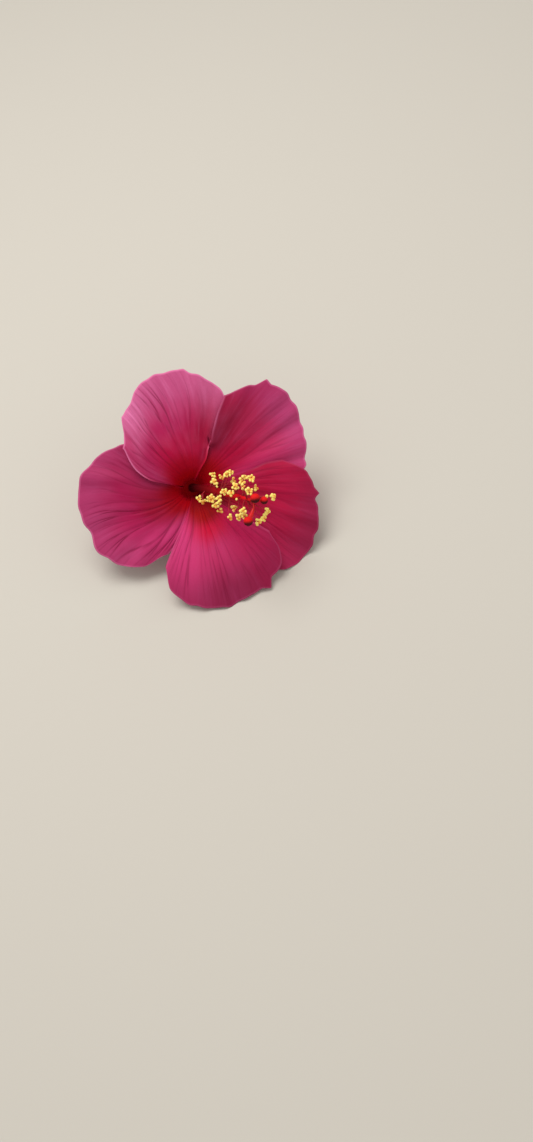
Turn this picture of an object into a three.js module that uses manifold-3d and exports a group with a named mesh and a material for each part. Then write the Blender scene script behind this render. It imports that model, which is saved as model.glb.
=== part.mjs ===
// A hibiscus blossom, picked and laid on a table, face up. It leans on its cut stalk and on two petal rims.
//
// Every piece is drawn in the blossom's own frame: the origin is on the receptacle, where the petals grow,
// +Z runs along the blossom's axis and out of its face, and seen from the front +X is right and +Y is up.
// The exported group then tips the blossom over onto the table.
// Lengths are in millimetres, angles in degrees.

import * as THREE from "three";
import { mergeVertices } from "three/addons/utils/BufferGeometryUtils.js";
import Module from "manifold-3d";

const wasm = await Module();
wasm.setup();

const radians = THREE.MathUtils.degToRad;
const mix = THREE.MathUtils.lerp;
const smooth = THREE.MathUtils.smoothstep;

// ---------------------------------------------------------------- colours of the fresh blossom

const COLOURS = {
  petal: "#b0305c",
  column: "#a80f1c",
  pistil: "#d01a1e",
  calyx: "#6f8f3c",
  bract: "#557a30",
  stalk: "#6a7d3a",
};
const PLANT_ROUGHNESS = 0.6;

// ---------------------------------------------------------------- the corolla

const BLADE = { atRoot: 0.85, atRim: 0.65 }; // thickness of a petal
const BLADE_CELLS = { along: 13, across: 22 };

// The corolla's wall, followed from the receptacle to the rim: [way along the petal, lean from the axis].
const WALL = [
  [0, 4],
  [7, 7],
  [13, 20],
  [21, 48],
  [32, 72],
  [46, 86],
  [64, 94],
  [84, 98],
];
const WALL_ROOT = { radius: 4.15, height: 1.3 };
const WALL_STEP = 0.5;

// Where a petal's two sides run: their bearings are given at these distances from the axis.
const STATIONS = [4, 9, 15, 20, 24, 28, 36, 44];

// The five petals. cw and ccw are the bearings of the clockwise and the anticlockwise side at STATIONS.
// reach is how far the rim is from the axis, at even steps from the clockwise side to the other.
// points are [bearing, height, half width] of the small peaks on the rim.
// level is how far each side stands in front of the common wall, at the throat and further out.
// lift brings the rim forward, dome swells the middle of the blade.
const PETALS = [
  {
    name: "petal_upper_right",
    cw: [12, 9, 7, 5, 4.5, 4, 4, 4],
    ccw: [62, 64, 64, 65, 67.2, 70.3, 71.4, 70.8],
    reach: [46, 53.5, 55.5, 57, 58.7, 60.2, 61.6, 62.7, 62.2, 59.5, 55.8, 50, 45.5],
    points: [[55.5, 2.4, 3]],
    level: { cw: [-0.6, -0.7], ccw: [-0.65, 0.9] },
    lift: 0,
    dome: -0.8,
  },
  {
    name: "petal_upper_left",
    cw: [70, 62, 61.3, 66.9, 68.9, 66, 62, 62],
    ccw: [168, 171.5, 171, 170.3, 166.5, 162.3, 150.5, 149],
    reach: [38, 44.9, 49, 51.8, 53.9, 55, 55.2, 54.4, 51.9, 48.2, 44.8, 39.6, 37],
    points: [[94, 0.7, 3]],
    level: { cw: [0.65, -0.6], ccw: [0.65, 0.8] },
    lift: -2,
    dome: 1.6,
  },
  {
    name: "petal_left",
    cw: [175, 168, 163, 158, 153.5, 149, 142, 142],
    ccw: [262, 264, 263.5, 261, 257.8, 254.5, 248, 247],
    reach: [35, 39.8, 45.6, 49.8, 53, 54.2, 54.2, 52.4, 54.2, 51.7, 48.7, 43.8, 33],
    points: [],
    level: { cw: [-0.65, -0.7], ccw: [-0.65, -0.7] },
    lift: -7,
    dome: 0,
  },
  {
    name: "petal_bottom",
    cw: [266, 262, 258, 255, 253.6, 252.3, 251.4, 251.4],
    ccw: [334, 333, 332, 331, 331, 331, 331.3, 331],
    reach: [38.8, 48.2, 52.2, 54.5, 56.2, 56.9, 57.2, 56.6, 56.7, 55.8, 55, 50.4, 41],
    points: [[308.5, 2.2, 3.5]],
    level: { cw: [0.65, 0.7], ccw: [0.65, 0.8] },
    lift: 5,
    dome: 1.6,
  },
  {
    name: "petal_right",
    cw: [338, 332, 326, 321, 319, 317, 313, 309],
    ccw: [368, 371, 373.5, 375, 376.4, 377.7, 379.3, 377.5],
    reach: [45, 53, 58.8, 61.8, 62.6, 62.7, 63, 60.5, 58.4, 57, 54.8, 50.8, 44],
    points: [[357.7, 2.0, 3]],
    level: { cw: [-0.65, -0.7], ccw: [0.6, 0.8] },
    lift: 2,
    dome: -0.6,
  },
];
const LEVEL_TURN = [18.5, 24.8]; // between these distances from the axis the inner level becomes the outer one
const LIFT_FROM = 16; // way along the petal where its own lift starts
const LIFT_TO = 74; // and where it is complete
const RUFFLE = { from: 30, to: 68, height: 1.15 };

// ---------------------------------------------------------------- stamens and pistil

// The column is a tube that leans out of the throat. Its centre line is one Bezier curve.
const COLUMN_LINE = [
  [0, 0, -0.2],
  [0, 0.3, 18],
  [6, 0.2, 38],
  [18.5, -3.2, 50],
];
const COLUMN = { rootRadius: 3.15, neckRadius: 1.9, tipRadius: 1.45, neckAt: 0.17 };
const BORE = { rootRadius: 2.6, neckRadius: 1.15, tipRadius: 1.0 };
const COLUMN_SIDES = 8;
const COLUMN_STEPS = 14;

const STAMENS = {
  rows: 5,
  inRow: 6,
  firstRow: 60, // bearing of the first row round the column
  rowTurn: 72,
  from: 0.57, // shares of the column's length
  to: 0.955,
  reach: [5.4, 10.1], // of the filament, at the first and the last
  forward: [21, 34.5], // how far it leans towards the tip
  crown: 5, // stamens at the tip itself
  crownReach: 8.5,
  crownForward: 52,
  seed: 112,
};
const FILAMENT_RADIUS = 0.38;
const ANTHER = { bead: 1.4, ring: 0.8, beads: 3, clearOfWall: 4.4 };

const PISTIL = { ovaryRadius: 2.0, ovaryTo: 0.1, styleRadius: 0.62, freeLength: 11 };
// The style parts into five branches: [bearing round the style, spread from it, length].
const BRANCHES = [
  [130, 35, 6],
  [30, 20, 7.5],
  [-100, 74, 10.5],
  [170, 40, 4],
  [-30, 44, 5],
];
const BRANCH_RADIUS = 0.55;
const STIGMA_RADIUS = 2.15;

// ---------------------------------------------------------------- calyx, epicalyx and stalk

const CALYX_WALL = [
  [5.45, -0.4],
  [6.3, 3],
  [7.2, 8],
  [8.3, 13],
  [10.6, 17],
  [14.2, 19.6],
];
const CALYX = { lobes: 5, notchAt: 0.62, thickness: 0.8, columns: 30, rows: 6, firstLobe: 30 };
const CALYX_FLOOR = { inner: 3.75, outer: 5.6, top: 0.4, bottom: -0.8 };

const BRACTS = { count: 7, length: 13, width: 2.3, thickness: 0.8, spread: 58, first: 12 };
const COLLAR = { inner: 3.75, outer: 5.0, top: -1.25, bottom: -2.5 };

const STALK = { length: 11, radius: 1.5, receptacleRadius: 3.4, top: -0.6 };

// ---------------------------------------------------------------- how the blossom lies

const LEAN = 40; // the axis leans about this far from upright, towards -Y
const ROLL = -18; // the blossom is turned this far about its own axis before it leans
const FEET = ["stalk", "petal_bottom", "petal_right"]; // what it rests on
const PRESSED = 0.25; // its low points are flattened by this much where they touch the table

// ================================================================ helpers

// The value at x of the broken line through [x, value] pairs.
function along(pairs, x) {
  const last = pairs.length - 1;
  if (x <= pairs[0][0]) return pairs[0][1];
  if (x >= pairs[last][0]) return pairs[last][1];
  const k = pairs.findIndex((pair) => pair[0] > x);
  const [x0, y0] = pairs[k - 1];
  const [x1, y1] = pairs[k];
  return mix(y0, y1, (x - x0) / (x1 - x0));
}

// The value at share 0..1 of the Catmull-Rom line through evenly spaced numbers.
function spline(values, share) {
  const last = values.length - 1;
  const at = Math.min(Math.max(share, 0), 1) * last;
  const k = Math.min(Math.floor(at), last - 1);
  const f = at - k;
  const [a, b, c, d] = [k - 1, k, k + 1, k + 2].map((n) => values[Math.min(Math.max(n, 0), last)]);
  return b + 0.5 * f * (c - a + f * (2 * a - 5 * b + 4 * c - d + f * (3 * (b - c) + d - a)));
}

// A repeatable draw between 0 and 1.
function draw(n) {
  const wild = Math.sin(n * 12.9898 + STAMENS.seed * 78.233) * 43758.5453;
  return wild - Math.floor(wild);
}

// A thin blade round a grid of points, closed at its edges or round on itself.
function bladeGeometry(rows, columns, pointAt, thicknessAt, wrap = false) {
  const grid = [];
  for (let i = 0; i <= rows; i++) {
    grid.push([]);
    for (let j = 0; j < columns + (wrap ? 0 : 1); j++) grid[i].push(pointAt(i / rows, j / columns));
  }
  const width = grid[0].length;
  const column = (j) => (wrap ? (j + width) % width : Math.min(Math.max(j, 0), width - 1));
  const front = [];
  const back = [];
  for (let i = 0; i <= rows; i++) {
    for (let j = 0; j < width; j++) {
      const up = grid[Math.min(i + 1, rows)][j].clone().sub(grid[Math.max(i - 1, 0)][j]);
      const side = grid[i][column(j + 1)].clone().sub(grid[i][column(j - 1)]);
      const normal = up.cross(side).normalize();
      const half = thicknessAt(i / rows, j / columns) / 2;
      front.push(grid[i][j].clone().addScaledVector(normal, half));
      back.push(grid[i][j].clone().addScaledVector(normal, -half));
    }
  }
  const faces = [];
  const shift = front.length;
  const quad = (a, b, c, d) => faces.push(a, b, c, a, c, d);
  for (let i = 0; i < rows; i++) {
    for (let j = 0; j < (wrap ? width : width - 1); j++) {
      const a = i * width + j;
      const b = i * width + column(j + 1);
      faces.push(a, a + width, b + width, a, b + width, b);
      faces.push(a + shift, b + width + shift, a + width + shift, a + shift, b + shift, b + width + shift);
    }
  }
  for (let j = 0; j < (wrap ? width : width - 1); j++) {
    const a = j;
    const b = column(j + 1);
    const top = rows * width;
    quad(a, b, b + shift, a + shift);
    quad(b + top, a + top, a + top + shift, b + top + shift);
  }
  for (let i = 0; i < (wrap ? 0 : rows); i++) {
    const a = i * width;
    const b = a + width;
    quad(b, a, a + shift, b + shift);
    quad(a + width - 1, b + width - 1, b + width - 1 + shift, a + width - 1 + shift);
  }
  return meshOf([...front, ...back], faces);
}

// A round bar along a line, its radius given at each share of the way, closed at both ends.
function barGeometry(line, steps, sides, radiusAt) {
  const points = [];
  const faces = [];
  for (let i = 0; i <= steps; i++) {
    const frame = lineFrame(line, i / steps);
    for (let j = 0; j < sides; j++) {
      const out = bearingAround(frame, (360 * j) / sides);
      points.push(frame.at.clone().addScaledVector(out, radiusAt(i / steps)));
    }
  }
  points.push(line.getPoint(0), line.getPoint(1));
  const tip = points.length - 1;
  for (let j = 0; j < sides; j++) {
    const k = (j + 1) % sides;
    for (let i = 0; i < steps; i++) {
      const a = i * sides;
      const b = a + sides;
      faces.push(a + j, a + k, b + k, a + j, b + k, b + j);
    }
    faces.push(tip - 1, k, j, tip, steps * sides + j, steps * sides + k);
  }
  return meshOf(points, faces);
}

// A point of a line with its direction and two directions across it, the first one as near +X as it can be.
function lineFrame(line, share) {
  const forward = line.getTangent(share);
  const across = new THREE.Vector3(0, 1, 0).cross(forward).normalize();
  return { at: line.getPoint(share), forward, across, above: forward.clone().cross(across) };
}

function bearingAround(frame, degrees) {
  const a = radians(degrees);
  return frame.across.clone().multiplyScalar(Math.cos(a)).addScaledVector(frame.above, Math.sin(a));
}

function meshOf(points, faces) {
  const geometry = new THREE.BufferGeometry().setFromPoints(points);
  geometry.setIndex(faces);
  return geometry;
}

function toSolid(geometry) {
  const bare = geometry.clone();
  bare.deleteAttribute("normal");
  bare.deleteAttribute("uv");
  const merged = mergeVertices(bare, 1e-4);
  const mesh = new wasm.Mesh({
    numProp: 3,
    vertProperties: Float32Array.from(merged.attributes.position.array),
    triVerts: Uint32Array.from(merged.index.array),
  });
  return new wasm.Manifold(mesh);
}

function toGeometry(solid) {
  const mesh = solid.getMesh();
  const geometry = new THREE.BufferGeometry();
  geometry.setAttribute("position", new THREE.BufferAttribute(mesh.vertProperties, 3));
  geometry.setIndex(new THREE.BufferAttribute(mesh.triVerts, 1));
  return geometry;
}

function fuse(geometries) {
  return geometries.map(toSolid).reduce((all, next) => all.add(next));
}

function ringGeometry({ inner, outer, top, bottom }, sides) {
  const outline = [
    [inner, bottom],
    [outer, bottom],
    [outer, top],
    [inner, top],
    [inner, bottom],
  ].map(([x, y]) => new THREE.Vector2(x, y));
  return new THREE.LatheGeometry(outline, sides).rotateX(Math.PI / 2);
}

// ================================================================ the corolla

// The common wall as a list of points: way along it, radius, height and lean.
const wall = [{ way: 0, radius: WALL_ROOT.radius, height: WALL_ROOT.height, lean: along(WALL, 0) }];
while (wall.at(-1).way < WALL.at(-1)[0]) {
  const { way, radius, height, lean } = wall.at(-1);
  wall.push({
    way: way + WALL_STEP,
    radius: radius + WALL_STEP * Math.sin(radians(lean)),
    height: height + WALL_STEP * Math.cos(radians(lean)),
    lean: along(WALL, way + WALL_STEP),
  });
}
const wayToRadius = wall.map(({ way, radius }) => [way, radius]);
const wayToHeight = wall.map(({ way, height }) => [way, height]);
const radiusToWay = wall.map(({ way, radius }) => [radius, way]);
const rising = wall.filter(({ lean }) => lean < 88).map(({ height, radius }) => [height, radius]);

function roomAtWall(point) {
  return along(rising, point.z) - Math.hypot(point.x, point.y);
}

// The waves of the rim. They depend on place alone, so petals that overlap wave together and never cross.
function ruffle(way, bearing) {
  const a = radians(bearing);
  const waves = 0.5 * Math.sin(17 * a + 0.6) + 0.32 * Math.sin(29 * a + 2.1) + 0.3 * Math.sin(11 * a + 4);
  return RUFFLE.height * waves * smooth(way, RUFFLE.from, RUFFLE.to);
}

function petalBearings(petal, radius) {
  const side = (bearings) => along(STATIONS.map((station, k) => [station, bearings[k]]), radius);
  return [side(petal.cw), side(petal.ccw)];
}

// A point of a petal: share 0..1 of the way from its root to its rim, side 0..1 from clockwise across.
function petalPoint(petal, share, side) {
  const [cwEnd, ccwEnd] = petalBearings(petal, STATIONS.at(-1));
  const rimBearing = mix(cwEnd, ccwEnd, side);
  let rim = spline(petal.reach, side);
  for (const [bearing, height, width] of petal.points) {
    rim += height * Math.max(0, 1 - Math.abs(rimBearing - bearing) / width);
  }
  const way = along(radiusToWay, rim) * share;
  const radius = along(wayToRadius, way);
  const bearings = petalBearings(petal, radius);
  const bearing = mix(...bearings, side);
  const turn = smooth(radius, ...LEVEL_TURN);
  const levels = [petal.level.cw, petal.level.ccw].map(([inner, outer]) => mix(inner, outer, turn));
  const spreading = 0.35 + 0.65 * smooth(way, 0, 9) + 0.9 * smooth(way, 24, 70);
  const level = mix(...levels, smooth(side, 0.22, 0.78)) * spreading;
  const middle = Math.max(0, 1 - ((2 * side - 1) / 0.75) ** 2) ** 2;
  const dome = petal.dome * middle * smooth(way, 18, 55);
  const lift = petal.lift * smooth(way, LIFT_FROM, LIFT_TO);
  const lean = radians(along(WALL, way));
  const forward = level + dome + ruffle(way, bearing);
  const out = radius - Math.cos(lean) * forward;
  const height = along(wayToHeight, way) + Math.sin(lean) * forward + lift;
  return new THREE.Vector3(out * Math.cos(radians(bearing)), out * Math.sin(radians(bearing)), height);
}

function petalGeometry(petal) {
  return bladeGeometry(
    BLADE_CELLS.along,
    BLADE_CELLS.across,
    (share, side) => petalPoint(petal, share, side),
    (share) => mix(BLADE.atRoot, BLADE.atRim, share),
  );
}

// ================================================================ stamens and pistil

const columnLine = new THREE.CubicBezierCurve3(...COLUMN_LINE.map((p) => new THREE.Vector3(...p)));

function taper({ rootRadius, neckRadius, tipRadius }) {
  return (share) => {
    const neck = smooth(share, 0, COLUMN.neckAt);
    return mix(mix(rootRadius, neckRadius, neck), tipRadius, share);
  };
}

// Every stamen: where its filament starts and which way and how far it goes.
function stamens() {
  const made = [];
  for (let row = 0; row < STAMENS.rows; row++) {
    for (let k = 0; k < STAMENS.inRow; k++) {
      const n = row * STAMENS.inRow + k + 1;
      const share = (k + 0.15 + 0.7 * draw(n)) / STAMENS.inRow;
      made.push({
        share: mix(STAMENS.from, STAMENS.to, share),
        bearing: STAMENS.firstRow + row * STAMENS.rowTurn + 36 * (draw(n + 100) - 0.5),
        length: mix(...STAMENS.reach, share) + 2.2 * (draw(n + 200) - 0.5),
        forward: mix(...STAMENS.forward, share) + 16 * (draw(n + 300) - 0.5),
      });
    }
  }
  for (let k = 0; k < STAMENS.crown; k++) {
    made.push({
      share: 0.97,
      bearing: (360 * (k + 0.6 * draw(k + 400))) / STAMENS.crown,
      length: STAMENS.crownReach + 1.6 * (draw(k + 500) - 0.5),
      forward: STAMENS.crownForward + 14 * (draw(k + 600) - 0.5),
    });
  }
  return made;
}

function stamenEnds({ share, bearing, length, forward }) {
  const frame = lineFrame(columnLine, share);
  const out = bearingAround(frame, bearing);
  const lean = radians(forward);
  const direction = out.multiplyScalar(Math.cos(lean)).addScaledVector(frame.forward, Math.sin(lean));
  const root = frame.at.clone().addScaledVector(bearingAround(frame, bearing), 1.25);
  const start = root.clone().addScaledVector(direction, -0.15);
  const tip = root.clone().addScaledVector(direction, length);
  // Down in the throat the filaments are as short as the wall makes them.
  for (let cut = 0.25; cut < length - 2 && roomAtWall(tip) < ANTHER.clearOfWall; cut += 0.25) {
    tip.copy(root).addScaledVector(direction, length - cut);
  }
  return { start, tip, direction };
}

// A filament with its anther, a small ring of pollen sacs.
function stamenGeometries(stamen, n) {
  const { start, tip, direction } = stamenEnds(stamen);
  const line = new THREE.LineCurve3(start, tip);
  const parts = [barGeometry(line, 1, 4, () => FILAMENT_RADIUS)];
  const frame = lineFrame(line, 1);
  for (let k = 0; k < ANTHER.beads; k++) {
    const out = bearingAround(frame, (360 * (k + draw(n + 700))) / ANTHER.beads);
    const centre = tip
      .clone()
      .addScaledVector(out, ANTHER.ring * (0.78 + 0.3 * draw(n * 5 + k + 800)))
      .addScaledVector(direction, 0.7 * (draw(n * 7 + k + 900) - 0.5));
    const size = ANTHER.bead * (0.92 + 0.25 * draw(n * 3 + k + 1000));
    parts.push(new THREE.OctahedronGeometry(size).translate(...centre));
  }
  return parts;
}

function columnGeometry() {
  const tube = toSolid(barGeometry(columnLine, COLUMN_STEPS, COLUMN_SIDES, taper(COLUMN)));
  const bore = toSolid(barGeometry(longer(columnLine), COLUMN_STEPS, COLUMN_SIDES, taper(BORE)));
  const repeats = stamens().flatMap((stamen, n) => stamenGeometries(stamen, n));
  return toGeometry(tube.subtract(bore).add(fuse(repeats).subtract(bore)));
}

// The same line, run a little past both of its ends.
function longer(line, past = 0.6) {
  const [a, b, c, d] = [line.v0, line.v1, line.v2, line.v3].map((p) => p.clone());
  a.addScaledVector(line.getTangent(0), -past);
  d.addScaledVector(line.getTangent(1), past);
  return new THREE.CubicBezierCurve3(a, b, c, d);
}

function branchLine([bearing, spread, length], fork) {
  const out = bearingAround(fork, bearing);
  const lean = radians(spread);
  const end = fork.at
    .clone()
    .addScaledVector(fork.forward, Math.cos(lean) * length)
    .addScaledVector(out, Math.sin(lean) * length);
  const bend = fork.at.clone().addScaledVector(fork.forward, length * 0.45);
  return new THREE.QuadraticBezierCurve3(fork.at, bend, end);
}

function pistilGeometry() {
  const { ovaryRadius, ovaryTo, styleRadius, freeLength } = PISTIL;
  const inside = barGeometry(columnLine, COLUMN_STEPS, 6, (share) =>
    mix(ovaryRadius, styleRadius, smooth(share, 0, ovaryTo)),
  );
  const tip = lineFrame(columnLine, 1);
  const forkAt = tip.at.clone().addScaledVector(tip.forward, freeLength);
  const free = new THREE.LineCurve3(tip.at.clone().addScaledVector(tip.forward, -1), forkAt);
  const fork = lineFrame(free, 1);
  const parts = [inside, barGeometry(free, 1, 6, () => styleRadius)];
  for (const branch of BRANCHES) {
    const line = branchLine(branch, fork);
    parts.push(barGeometry(line, 4, 5, () => BRANCH_RADIUS));
    parts.push(new THREE.IcosahedronGeometry(STIGMA_RADIUS, 1).translate(...line.getPoint(1)));
  }
  return toGeometry(fuse(parts));
}

// ================================================================ calyx, epicalyx and stalk

function calyxGeometry() {
  const wallAt = (share, axis) => spline(CALYX_WALL.map((p) => p[axis]), share);
  const cup = bladeGeometry(
    CALYX.rows,
    CALYX.columns,
    (share, turn) => {
      const lobe = Math.abs(((turn * CALYX.lobes) % 1) - 0.5) * 2;
      const top = mix(1, CALYX.notchAt, lobe ** 0.85);
      const bearing = -360 * turn - CALYX.firstLobe;
      const way = share * top;
      const radius = wallAt(way, 0);
      const a = radians(bearing);
      return new THREE.Vector3(radius * Math.cos(a), radius * Math.sin(a), wallAt(way, 1));
    },
    () => CALYX.thickness,
    true,
  );
  return toGeometry(fuse([cup, ringGeometry(CALYX_FLOOR, CALYX.columns)]));
}

function bractGeometry(bearing) {
  const { length, width, thickness, spread } = BRACTS;
  const blade = bladeGeometry(
    6,
    2,
    (share, side) => {
      const half = (width / 2) * Math.sqrt(Math.max(0.02, 1 - share ** 2)) * (1 - 0.25 * share);
      const lean = radians(mix(spread + 24, spread - 26, share));
      const away = COLLAR.outer - 0.7 + length * share * Math.sin(lean);
      const up = (COLLAR.top + COLLAR.bottom) / 2 + length * share * Math.cos(lean);
      return new THREE.Vector3(away, (0.5 - side) * 2 * half, up);
    },
    () => thickness,
  );
  return blade.rotateZ(radians(bearing));
}

function epicalyxGeometry() {
  const parts = [ringGeometry(COLLAR, 28)];
  for (let k = 0; k < BRACTS.count; k++) parts.push(bractGeometry(BRACTS.first + (360 * k) / BRACTS.count));
  return toGeometry(fuse(parts));
}

function stalkGeometry() {
  const { length, radius, receptacleRadius, top } = STALK;
  const outline = [
    [0, top - length],
    [radius, top - length],
    [radius * 0.9, top - length * 0.75],
    [radius * 0.95, top - length * 0.45],
    [radius * 1.5, top - length * 0.28],
    [receptacleRadius, top - 2],
    [receptacleRadius, top],
    [0, top],
  ].map(([x, y]) => new THREE.Vector2(x, y));
  return new THREE.LatheGeometry(outline, 16).rotateX(Math.PI / 2);
}

// ================================================================ the blossom, laid down

const pieces = [
  ...PETALS.map((petal) => [petal.name, petalGeometry(petal), COLOURS.petal]),
  ["staminal_column", columnGeometry(), COLOURS.column],
  ["pistil", pistilGeometry(), COLOURS.pistil],
  ["calyx", calyxGeometry(), COLOURS.calyx],
  ["epicalyx", epicalyxGeometry(), COLOURS.bract],
  ["stalk", stalkGeometry(), COLOURS.stalk],
];

const lying = new THREE.Matrix4()
  .makeRotationX(radians(LEAN))
  .multiply(new THREE.Matrix4().makeRotationZ(radians(ROLL)));
for (const [, geometry] of pieces) geometry.applyMatrix4(lying);

function lowestPoint(geometry) {
  const { position } = geometry.attributes;
  const low = new THREE.Vector3(0, 0, Infinity);
  for (let n = 0; n < position.count; n++) {
    if (position.getZ(n) < low.z) low.fromBufferAttribute(position, n);
  }
  return low;
}

// Tip the blossom until the lowest points of its three feet are level with each other.
for (let turn = 0; turn < 5; turn++) {
  const feet = FEET.map((foot) => lowestPoint(pieces.find(([name]) => name === foot)[1]));
  const { normal } = new THREE.Plane().setFromCoplanarPoints(...feet);
  if (normal.z < 0) normal.negate();
  const level = new THREE.Quaternion().setFromUnitVectors(normal, new THREE.Vector3(0, 0, 1));
  for (const [, geometry] of pieces) geometry.applyQuaternion(level);
}

function boxOf(geometry) {
  return new THREE.Box3().setFromBufferAttribute(geometry.attributes.position);
}

const box = new THREE.Box3();
for (const [, geometry] of pieces) box.union(boxOf(geometry));
const middle = box.getCenter(new THREE.Vector3());
const ground = -(box.min.z + PRESSED);

const table = toSolid(new THREE.BoxGeometry(300, 300, 10).translate(0, 0, -5));

// The part of a piece above the table, so that its low points are flat there.
function aboveTable(geometry) {
  geometry.translate(-middle.x, -middle.y, ground);
  return boxOf(geometry).min.z < 0 ? toGeometry(toSolid(geometry).subtract(table)) : geometry;
}

const blossom = new THREE.Group();
for (const [name, geometry, color] of pieces) {
  const material = new THREE.MeshStandardMaterial({ color, roughness: PLANT_ROUGHNESS, metalness: 0 });
  const mesh = new THREE.Mesh(aboveTable(geometry), material);
  mesh.name = name;
  blossom.add(mesh);
}

export default blossom;
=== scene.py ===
"""A picked hibiscus blossom, lying face up on a pale table.

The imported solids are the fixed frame. Each petal, the staminal column, the pistil, the calyx, the bracts and
the stalk is grown again here at full detail round its own solid, with a procedural material.
Lengths in the blossom's own frame are in millimetres: its origin is on the receptacle, +Z runs out of its
face, and seen from the front +X is right and +Y is up. Bearings are in degrees, anticlockwise from +X.
"""

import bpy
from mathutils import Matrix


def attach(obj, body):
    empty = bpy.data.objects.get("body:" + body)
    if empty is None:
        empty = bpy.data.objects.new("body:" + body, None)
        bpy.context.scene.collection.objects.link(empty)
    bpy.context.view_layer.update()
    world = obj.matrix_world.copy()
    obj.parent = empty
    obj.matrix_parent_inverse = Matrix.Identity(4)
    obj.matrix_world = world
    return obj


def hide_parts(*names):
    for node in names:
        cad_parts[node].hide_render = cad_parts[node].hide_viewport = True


bl_info = {
    "name": "Hibiscus Blossom",
    "version": (1, 0, 0),
    "blender": (4, 5, 0),
    "location": "3D View > Sidebar > Blossom",
    "description": "Grows a picked hibiscus blossom petal by petal and sets it on a studio table",
    "category": "Add Mesh",
}

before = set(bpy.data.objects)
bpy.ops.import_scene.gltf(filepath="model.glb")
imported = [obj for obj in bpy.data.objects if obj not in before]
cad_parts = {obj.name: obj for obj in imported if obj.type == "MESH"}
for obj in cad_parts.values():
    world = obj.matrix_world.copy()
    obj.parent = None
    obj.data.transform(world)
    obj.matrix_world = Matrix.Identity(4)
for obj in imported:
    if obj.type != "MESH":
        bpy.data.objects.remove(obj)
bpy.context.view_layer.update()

import math

import bmesh
import bpy
import numpy as np
from bpy.props import FloatProperty, FloatVectorProperty, IntProperty, PointerProperty
from mathutils import Matrix, Quaternion, Vector

MM = 0.001

# ------------------------------------------------------------------ where the blossom lies

# The blossom's turn and its receptacle's place above the table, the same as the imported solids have.
LYING = Quaternion((0.927881, 0.337893, 0.055388, -0.147643))
RECEPTACLE = Vector((-2.1962, 21.568, 9.5926)) * MM
TO_TABLE = Matrix.Translation(RECEPTACLE) @ LYING.to_matrix().to_4x4() @ Matrix.Scale(MM, 4)
# Below this height the tips that rest on the table give way.
CONTACT = 0.6 * MM

# ------------------------------------------------------------------ the camera and the studio

PHOTO = (533, 1142)
# The throat's pixel lies on the blossom's axis, and the scale holds at this height on it.
THROAT_PIXEL = (192, 488)
CAMERA_AWAY = 650
MM_PER_PIXEL = 0.475
FOCUS_HEIGHT = 20
SENSOR_WIDTH = 36
TABLE_HALF = 6.0
# Lights in metres: the way to each in the blossom's frame, its share of the key light's power, and its size.
LIGHTS = {"key": ((-0.5, 1.0, 0.8), 1.0, 0.6), "fill": ((0.5, -0.4, 1.0), 0.18, 1.2)}
LIGHT_AWAY = 0.9
LIGHT_COLOUR = (1.0, 0.98, 0.95)
AIR = {"colour": "#f3f1ec", "strength": 0.66}

# ------------------------------------------------------------------ the corolla

# The corolla's wall from the receptacle to the rim: (way along the petal, lean from the axis).
WALL = [(0, 4), (7, 7), (13, 20), (21, 48), (32, 72), (46, 86), (64, 94), (84, 98)]
# The radius and height at which the wall starts, and the length of the steps in which it is followed.
WALL_ROOT = (4.15, 1.3)
WALL_STEP = 0.5
# A petal's two sides are given as bearings at these distances from the axis.
STATIONS = [4, 9, 15, 20, 24, 28, 36, 44]
# Distance from the axis at which a side changes places with its neighbour, and half the width of the change.
LEVEL_TURN = (21.5, 1.9)
# The ways along a petal between which it lifts or droops, and between which the rims' common waves grow.
LIFT = (16, 74)
RUFFLE = {"start": 30, "full": 68, "height": 1.15}
# Waves laid over each other, of all rims together, of a margin's scallops and of its folds: how many there
# are in a turn or from side to side, their height and their shift.
RUFFLE_WAVES = [(17, 0.5, 0.6), (29, 0.32, 2.1), (11, 0.3, 4)]
SCALLOP_WAVES = [(4.3, 0.5, 1), (7.9, 0.55, 2), (12.3, 0.25, 5)]
FOLD_WAVES = [(4.1, 0.6, 1), (7.7, 0.4, 3)]
# The corners of a petal's sides are rounded off over this length, and the veins keep to much smoother ones.
ROUNDING = {"side": 1.0, "veins": 9.0}
# The blade thins towards its margin by this share, over this width.
THIN_MARGIN = {"share": 0.5, "width": 3}

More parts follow.
